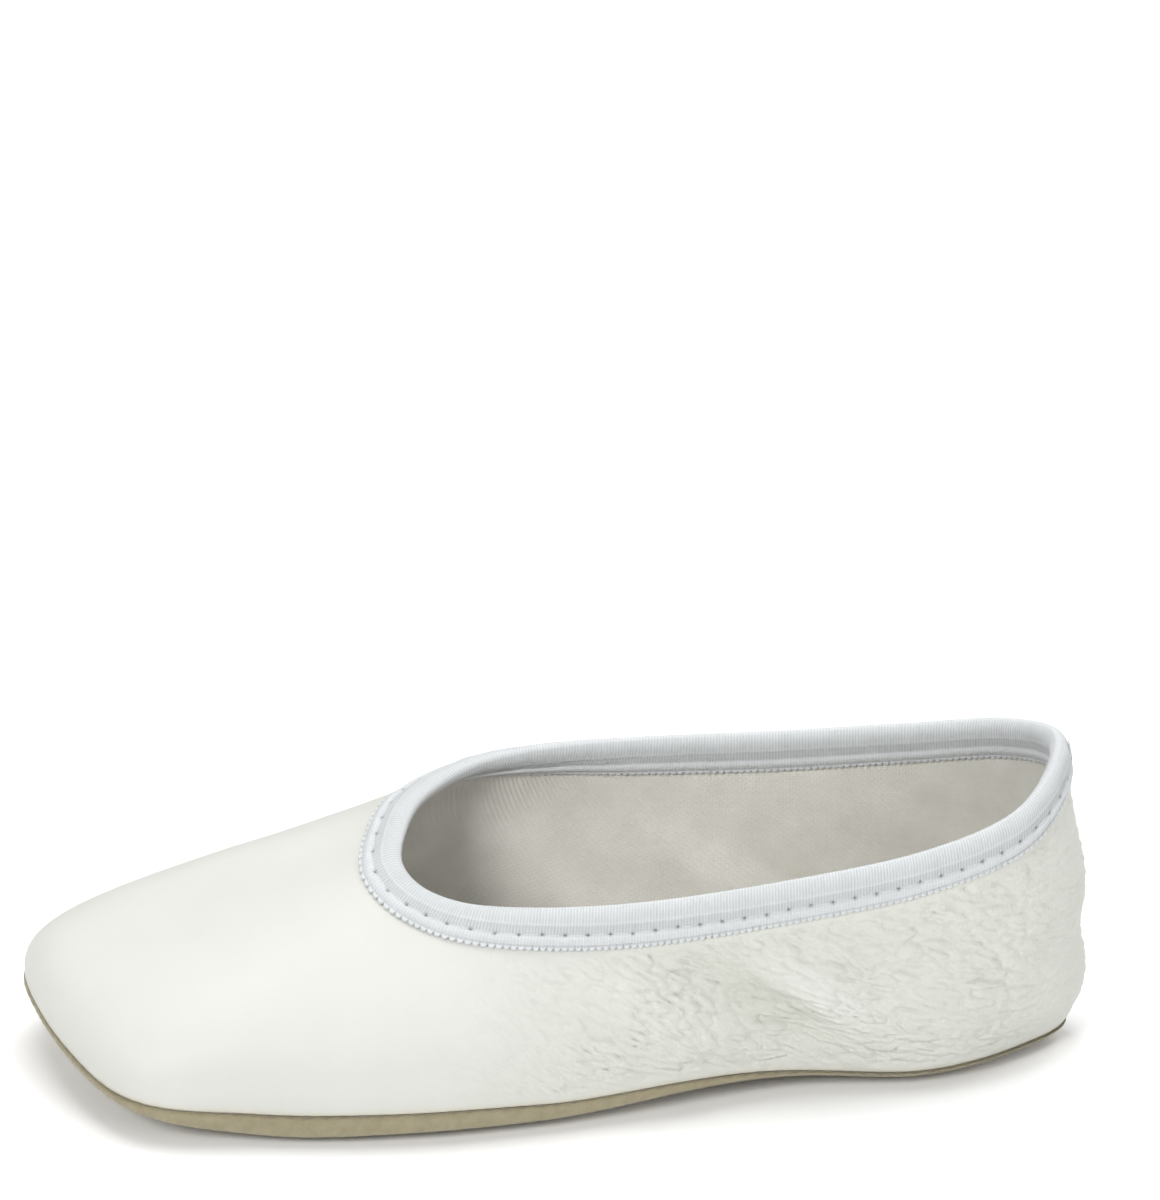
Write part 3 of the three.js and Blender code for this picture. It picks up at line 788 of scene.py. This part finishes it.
def leatherDetail(point, turn, drop):
    # creases, puckers and dents of the outer face; also the masks that its material reads, among
    # them painted shade and a painted highlight
    x, y, z = point[..., 0], point[..., 1], point[..., 2]
    toSeam = drop.max(axis=1, keepdims=True) - drop
    slack = 1 - smoothStep(*upper["smoothFrom"], x + upper["slackLean"] * (z - upper["slackLevel"]))
    slack *= smoothStep(*upper["slackOverSeam"], toSeam)
    fade = smoothStep(*upper["creaseTop"], drop)
    calm = 1 - upper["calm"] * smoothStep(*upper["calmHeel"], -x)
    side = upper["farCreases"] + (1 - upper["farCreases"]) * nearSide(y)
    height, creaseShade = creaseField(point, slack * calm * side * fade)
    height *= fade

    run = turn[:, None] * upper["seamLength"]
    *wave, reach = upper["pucker"]
    arch = bell(x, ground["archCentre"], 26)
    depth = upper["puckerDepth"] + upper["archPucker"] * arch
    height += depth * edgeWave(run, *wave) * np.exp(-toSeam / reach) * smoothStep(0, 0.8, toSeam)
    *wave, reach = upper["gather"]
    ease = np.exp(-np.maximum(0, drop - upper["gatherTop"][0]) / reach)
    gathered = slack * smoothStep(*upper["gatherTop"], drop) * ease
    height += upper["gatherDepth"] * edgeWave(run, *wave) * gathered
    fromSeam = fromBack(turn)[:, None] * upper["collarLength"]
    height -= upper["backSeamDepth"] * bell(fromSeam, 0, upper["backSeamHalfWidth"]) * fade

    # the seam mask paints shade in the crevice along the sole seam
    masks = {"slack": slack, "creaseShade": creaseShade,
             "seamShade": upper["seamShadeShare"] * bell(toSeam, 0, upper["seamShadeReach"])}
    left = (nearSide(y) - upper["farSide"]) / (1 - upper["farSide"])
    # paint shade along the hollow and a highlight on the ridge beside it, on the left side
    for label, (start, end, width, amount) in upper["paintedShadeAndHighlight"].items():
        away, share = distanceToStroke(x, z, start, end)
        ease = np.sin(np.pi * np.clip(share, 0.1, 0.9))
        masks[label] = amount * bell(away, 0, width) * ease * fade * left
    return height, masks


def makeUpper():
    slices = upper["slices"]
    turn = evenTurns(seamPoint, slices)[0]
    drop = dropsDown(turn, binding["skiveFrom"], np.linspace(1, 0, upper["rows"]))
    base = skin(turn, drop)
    detail, masks = leatherDetail(base, turn, drop)
    outer = skin(turn, drop, drapeHeight(base, turn, drop) + detail)
    drop = dropsDown(turn, binding["skiveFrom"], np.linspace(0, 1, upper["innerRows"]))
    inner = skin(turn, drop, drapeHeight(skin(turn, drop), turn, drop) - wall["leather"])
    points = np.concatenate([outer, inner], axis=1)
    padding = np.zeros((slices, upper["innerRows"]))
    values = {label: np.concatenate([mask, padding], axis=1) for label, mask in masks.items()}
    return addPiece("leather_upper", points, ringFaces(*points.shape[:2]), leatherMaterial,
                    "upper", values)


def makeLining():
    size = {"slices": 420, "rows": 50, "round": 400}
    turn = fullTurn(size["slices"])
    drop = dropsDown(turn, binding["skiveFrom"], np.linspace(0, 1, size["rows"]))
    drape = drapeHeight(skin(turn, drop), turn, drop)
    outer = skin(turn, drop, drape + liningOuter)[:, ::-1]
    inner = skin(turn, drop, drape + liningInner)
    points = np.concatenate([outer, inner], axis=1)
    middle = drop.mean(axis=0)
    downs = np.concatenate([middle[::-1], middle])
    return addPiece("cotton_lining", points, ringFaces(*points.shape[:2]), liningMaterial,
                    "upper_lining", clothUv=ringUv(size["slices"], downs, size["round"]))


binding = {
    "ribPitch": 0.56, "ribSlices": 4, "ribDepth": 0.09,
    "picotPitch": 1.24, "picotDepth": 0.75, "picotGap": (0.15, 0.6),
    "stitchInset": 5.2, "stitchPitch": 4.1, "stitchReach": 0.38, "stitchRadius": 0.17,
    "holeLength": 0.3, "holeWidth": 0.24, "holeDepth": 0.4,
    "tuckWidth": 0.9, "tuckDepth": 0.06,
    "skiveFrom": 2.8, "clear": 0.06,
}
bindingProfile = [
    # drop, lift, share of ribs, of picots and of painted shade: from the picots up to the fold
    (7.8, 0.12, 0, 1, 0.1), (7.95, 0.34, 0, 1, 0), (7.85, 0.58, 0, 1, 0), (7.5, 0.66, 0, 0.7, 0),
    (7.2, 0.5, 0.3, 0.2, 0.5), (7.0, 0.66, 0.4, 0, 0.1), (6.6, 0.94, 0.6, 0, 0),
    (6.15, 1.03, 0.6, 0, 0), (5.75, 0.98, 0.5, 0, 0), (5.45, 0.8, 0.4, 0, 0.1),
    (5.2, 0.64, 0.3, 0, 0.4), (4.95, 0.7, 0.8, 0, 0.25), (4.6, 0.78, 1, 0, 0.22),
    (4.2, 0.78, 1, 0, 0.22), (3.8, 0.76, 1, 0, 0.2), (3.5, 0.84, 0.8, 0, 0.15),
    (3.25, 0.95, 0.4, 0, 0), (2.95, 0.88, 0.8, 0, 0.1), (2.5, 0.85, 1, 0, 0.05),
    (2.0, 0.79, 1, 0, 0), (1.5, 0.66, 1, 0, 0), (1.0, 0.44, 1, 0, 0), (0.6, 0.14, 1, 0, 0),
    (0.3, -0.16, 1, 0, 0), (0.1, -0.45, 0.9, 0, 0), (0.0, -0.75, 0.8, 0, 0),
]


def bindingSection():
    # the outer leg, the fold and the inner leg, then the hidden faces that lie on the leather
    outer = np.array(bindingProfile)
    inner = outer[::-1].copy()
    inner[:, 1] = liningInner - inner[:, 1]
    clear = binding["clear"]
    downs = (7.5, 5.0, binding["skiveFrom"] - 0.2)
    hidden = [(down, liningInner - clear, 0, 0, 0) for down in downs]
    hidden += [(down, clear, 0, 0, 0) for down in downs[::-1]]
    return np.concatenate([outer, inner, hidden])


def makeBinding():
    length = evenTurns(collarPoint, 2)[1]
    ribCount, picotCount, stitchCount = (
        round(length / binding[pitch]) for pitch in ("ribPitch", "picotPitch", "stitchPitch"))
    slices = ribCount * binding["ribSlices"]
    turn = evenTurns(collarPoint, slices)[0]
    around = fullTurn(slices)[:, None]
    phase = around * 2 * np.pi
    section = bindingSection()
    drop, lift, ribShare, picotShare, shadeShare = (
        section[:, column][None, :] for column in range(5))
    outside = lift >= liningInner / 2

    rib = np.sin(phase * ribCount)
    arc = np.abs(np.sin(phase * picotCount / 2))
    picot = binding["picotDepth"] * (np.sqrt(arc) - 0.7) * picotShare
    fromStitch = (around * stitchCount + 0.5) % 1 - 0.5
    wander = 0.12 * np.sin(phase * 13) + 0.1 * np.sin(phase * 47 + 1)
    # the needle holes are dented, and painted dark as shade
    shadedHole = (bell(fromStitch * binding["stitchPitch"], 0, binding["holeLength"])
            * bell(drop, binding["stitchInset"] + wander, binding["holeWidth"]) * outside)
    tuck = (bell(drop, binding["stitchInset"], binding["tuckWidth"])
            * np.cos(2 * np.pi * fromStitch) * binding["tuckDepth"] * outside)
    # slow unevenness of the fold, between its edge and the stitches
    ripple = 0.05 * np.sin(phase * 31 + 1.3 * np.sin(phase * 5)) + 0.04 * np.sin(phase * 71)
    ripple = ripple * smoothStep(0, 3, drop) * (1 - smoothStep(4.5, 6, drop)) * (ribShare > 0)
    swell = binding["ribDepth"] * rib * ribShare + ripple - tuck
    height = lift + np.where(outside, 1, -1) * swell - binding["holeDepth"] * shadedHole
    points = skin(turn, drop + picot, height)

    # painted shade between the ribs, in the recessed bands and in the gaps between picots
    between = picotShare * (1 - smoothStep(*binding["picotGap"], arc))
    groove = ribShare * (0.5 - 0.5 * rib) * 0.6 + shadeShare + 0.8 * between
    values = {"shadedHole": shadedHole * 0.9, "groove": np.clip(groove, 0, 1)}
    return addPiece("elastic_binding", points, ringFaces(*points.shape[:2]), elasticMaterial,
                    "topline_binding", values, ringUv(slices, section[:, 0], length))


def makeToplineStitches():
    steps, reach = 9, binding["stitchReach"]
    across = np.linspace(-reach, reach, steps)
    turn, count = stitchTurns(collarPoint, binding["stitchPitch"], across)
    rise = np.tile(1 - (np.abs(across) / reach) ** 3, count)
    inset = np.full((len(turn), 1), binding["stitchInset"])
    sunk, proud = 0.36, 0.34
    path = skin(turn, inset, (sunk + proud * rise)[:, None])[:, 0]
    outward = skin(turn, inset, 1.0)[:, 0] - skin(turn, inset)[:, 0]
    shape, radius = (count, steps, 3), binding["stitchRadius"]
    points, faces = threadShape(path.reshape(shape), outward.reshape(shape), radius)
    return addPiece("topline_stitches", points, faces, whiteThread, "topline_stitching")


def makeBindingJoin():
    # a short zigzag bar over the joined ends of the elastic
    look = {"width": 2.2, "from": 1.2, "to": 4.4, "slant": 0.35, "passes": 9,
            "radius": 0.2, "lift": 1.0}
    steps = 5
    paths, outwards = [], []
    for number, drop in enumerate(np.linspace(look["from"], look["to"], look["passes"])):
        turn = backTurns(look["width"], steps) * (1 if number % 2 else -1)
        level = drop + np.linspace(0, look["slant"], steps)[:, None]
        paths.append(skin(turn, level, look["lift"])[:, 0])
        outwards.append(skin(turn, level, look["lift"] + 1)[:, 0] - paths[-1])
    points, faces = threadShape(np.array(paths), np.array(outwards), look["radius"])
    return addPiece("binding_join", points, faces, whiteThread, "binding_join_stitching")


sole = {
    "slices": 900, "overhang": 0.4, "thickness": 1.6, "curlReach": 8, "rimWidth": 2.2,
    "tightHeel": (0.015, 0.075), "squeeze": 0.67, "squeezeFrom": 2.6,
    "topInsets": (8, 6.5, 5, 3.5, 2.3),
    # inset and dip of the outlines over the rounded rim
    "rim": ((2.15, 0.1), (1.8, 0.0), (1.2, -0.02), (0.7, 0.02), (0.35, 0.12), (0.12, 0.3)),
    "edgeTop": 0.55, "edgeBottom": 0.28, "edgeSteps": (0, 0.25, 0.5, 0.75, 1),
    # inset and lift of the outlines round the lower corner
    "corner": ((0.12, 0.1), (0.4, 0.0)),
    "underInsets": (0.9, 1.6, 2.5, 3.5, 5, 6.5, 8),
    "roughDepth": 0.1, "roughSize": 0.9, "roughOutlines": (7, 17),
    "columns": 24,
}


def makeOutsole():
    turn = fullTurn(sole["slices"])
    thick = sole["thickness"]
    outlines = [soleOutline(turn, inset, thick) for inset in sole["topInsets"]]
    outlines += [rimOutline(turn, inset, dip) for inset, dip in sole["rim"]]
    top = rimOutline(turn, 0, sole["edgeTop"])
    bottom = soleOutline(turn, 0, sole["edgeBottom"])
    top[:, 2] = np.maximum(top[:, 2], bottom[:, 2] + 0.05)
    outlines += [top * (1 - share) + bottom * share for share in sole["edgeSteps"]]
    outlines += [soleOutline(turn, inset, lift) for inset, lift in sole["corner"]]
    outlines += [soleOutline(turn, inset) for inset in sole["underInsets"]]
    # the cut edge and its corners are rough
    outward = outwardOf(seamPoint, turn)
    first, last = sole["roughOutlines"]
    for outline in outlines[first:last + 1]:
        rough = [noise.fractal(Vector(point) / sole["roughSize"], 0.7, 2.0, 3) for point in outline]
        outline += outward * sole["roughDepth"] * np.array(rough)[:, None]
    points, faces = plateFaces(outlines, sole["columns"], (
        lambda x, y: groundHeight(x) + thick,
        lambda x, y: groundHeight(x),
    ))
    return addPiece("suede_outsole", points, faces, suedeMaterial, "outsole")


def makeLayer(name, node, material, bottom, top, clothUv=False):
    # a flat layer over the sole, with a rounded edge; bottom and top are above the suede
    shape = {"slices": 480, "clear": 0.1, "rounding": 0.2, "insets": (8, 6, 4.5)}
    turn = fullTurn(shape["slices"])
    edge = sole["rimWidth"] + wall["gap"] + shape["clear"]
    rounding = min(shape["rounding"], (top - bottom) * 0.35)
    top, bottom = top + sole["thickness"], bottom + sole["thickness"]
    levels = [(inset, top) for inset in shape["insets"]]
    levels += [(edge + rounding, top), (edge, top - rounding)]
    levels += [(edge, bottom + rounding), (edge + rounding, bottom)]
    levels += [(inset, bottom) for inset in shape["insets"][::-1]]
    outlines = [soleOutline(turn, inset, lift) for inset, lift in levels]
    points, faces = plateFaces(outlines, sole["columns"], (
        lambda x, y: groundHeight(x) + top,
        lambda x, y: groundHeight(x) + bottom,
    ))
    uv = None
    if clothUv:
        uv = [corner for face in faces for corner in points[list(face)][:, :2]]
    return addPiece(name, points, faces, material, node, clothUv=uv)


def makeSoleStitches():
    look = {"pitch": 3.3, "radius": 0.13, "reach": 0.3, "proud": 0.08, "dip": 0.25, "down": 0.15}
    steps, sides = 7, 6
    across = np.linspace(-look["reach"], look["reach"], steps)
    turn, count = stitchTurns(seamPoint, look["pitch"], across)
    outward = outwardOf(seamPoint, turn)
    dip = np.tile((np.abs(across) / look["reach"]) ** 2, count)[:, None]
    path = seamPoint(turn) + outward * (look["proud"] - look["dip"] * dip)
    path[:, 2] -= look["down"]
    shape = (count, steps, 3)
    points, faces = threadShape(path.reshape(shape), outward.reshape(shape), look["radius"], sides)
    return addPiece("sole_stitches", points, faces, creamThread, "sole_seam_stitching")


def makeBackstrip():
    size = {"width": 10, "columns": 24, "rows": 60, "thickness": 0.5, "behindLining": 0.35,
            "top": 8.1, "clear": 4.4, "length": 46}
    columns, rows = size["columns"], size["rows"]
    turn = backTurns(size["width"], columns)
    drop = dropsDown(turn, size["top"], np.linspace(0, 1, rows), size["clear"])
    lift = drapeHeight(skin(turn, drop), turn, drop) + liningInner - size["behindLining"]
    outer = skin(turn, drop, lift)
    inner = skin(turn, drop, lift - size["thickness"])
    index = np.arange(columns * rows).reshape(columns, rows)
    faces = np.stack([index[:-1, :-1], index[:-1, 1:], index[1:, 1:], index[1:, :-1]],
                     -1).reshape(-1, 4)
    border = np.concatenate([index[:-1, 0], index[-1, :-1], index[:0:-1, -1], index[0, :0:-1]])
    onward = np.roll(border, -1)
    rim = np.stack([border, onward, onward + columns * rows, border + columns * rows], -1)
    points = np.concatenate([outer.reshape(-1, 3), inner.reshape(-1, 3)])
    allFaces = np.concatenate([faces, faces[:, ::-1] + columns * rows, rim])
    flat = np.stack(np.meshgrid(np.linspace(0, size["width"], columns),
                                np.linspace(0, size["length"], rows), indexing="ij"), -1)
    corners = np.concatenate([flat.reshape(-1, 2)] * 2)
    return addPiece("back_tape", points, allFaces, tapeMaterial, "heel_backstrip",
                    clothUv=corners[allFaces.ravel()])


def makeBackStitches():
    look = {"pitch": 3.0, "length": 0.78, "top": 9.2, "clear": 4, "radius": 0.19,
            "sunk": 0.15, "dip": 0.3}
    steps = 7
    turn = np.array([0.0])
    starts = np.arange(look["top"], ribRuns(turn)[0, -1] - look["clear"], look["pitch"])
    across = np.linspace(0, look["length"], steps)
    drop = (starts[:, None] + across * look["pitch"]).ravel()[None, :]
    dip = np.tile((2 * across / look["length"] - 1) ** 2, len(starts))
    drape = drapeHeight(skin(turn, drop), turn, drop)
    path = skin(turn, drop, drape - look["sunk"] - look["dip"] * dip)[0]
    outward = skin(turn, drop, 1.0)[0] - skin(turn, drop)[0]
    shape = (len(starts), steps, 3)
    points, faces = threadShape(path.reshape(shape), outward.reshape(shape), look["radius"])
    return addPiece("back_stitches", points, faces, whiteThread, "back_seam_stitching")


makeOutsole()
insolePad = makeLayer("felt_insole", "insole_pad", feltMaterial, 0.3, 1.8)
sockLining = makeLayer("cotton_sock", "sock_lining", sockMaterial, 2.1, 2.6, clothUv=True)
lining = makeLining()
makeUpper()
makeBinding()
makeToplineStitches()
makeBindingJoin()
makeSoleStitches()
backTape = makeBackstrip()
makeBackStitches()
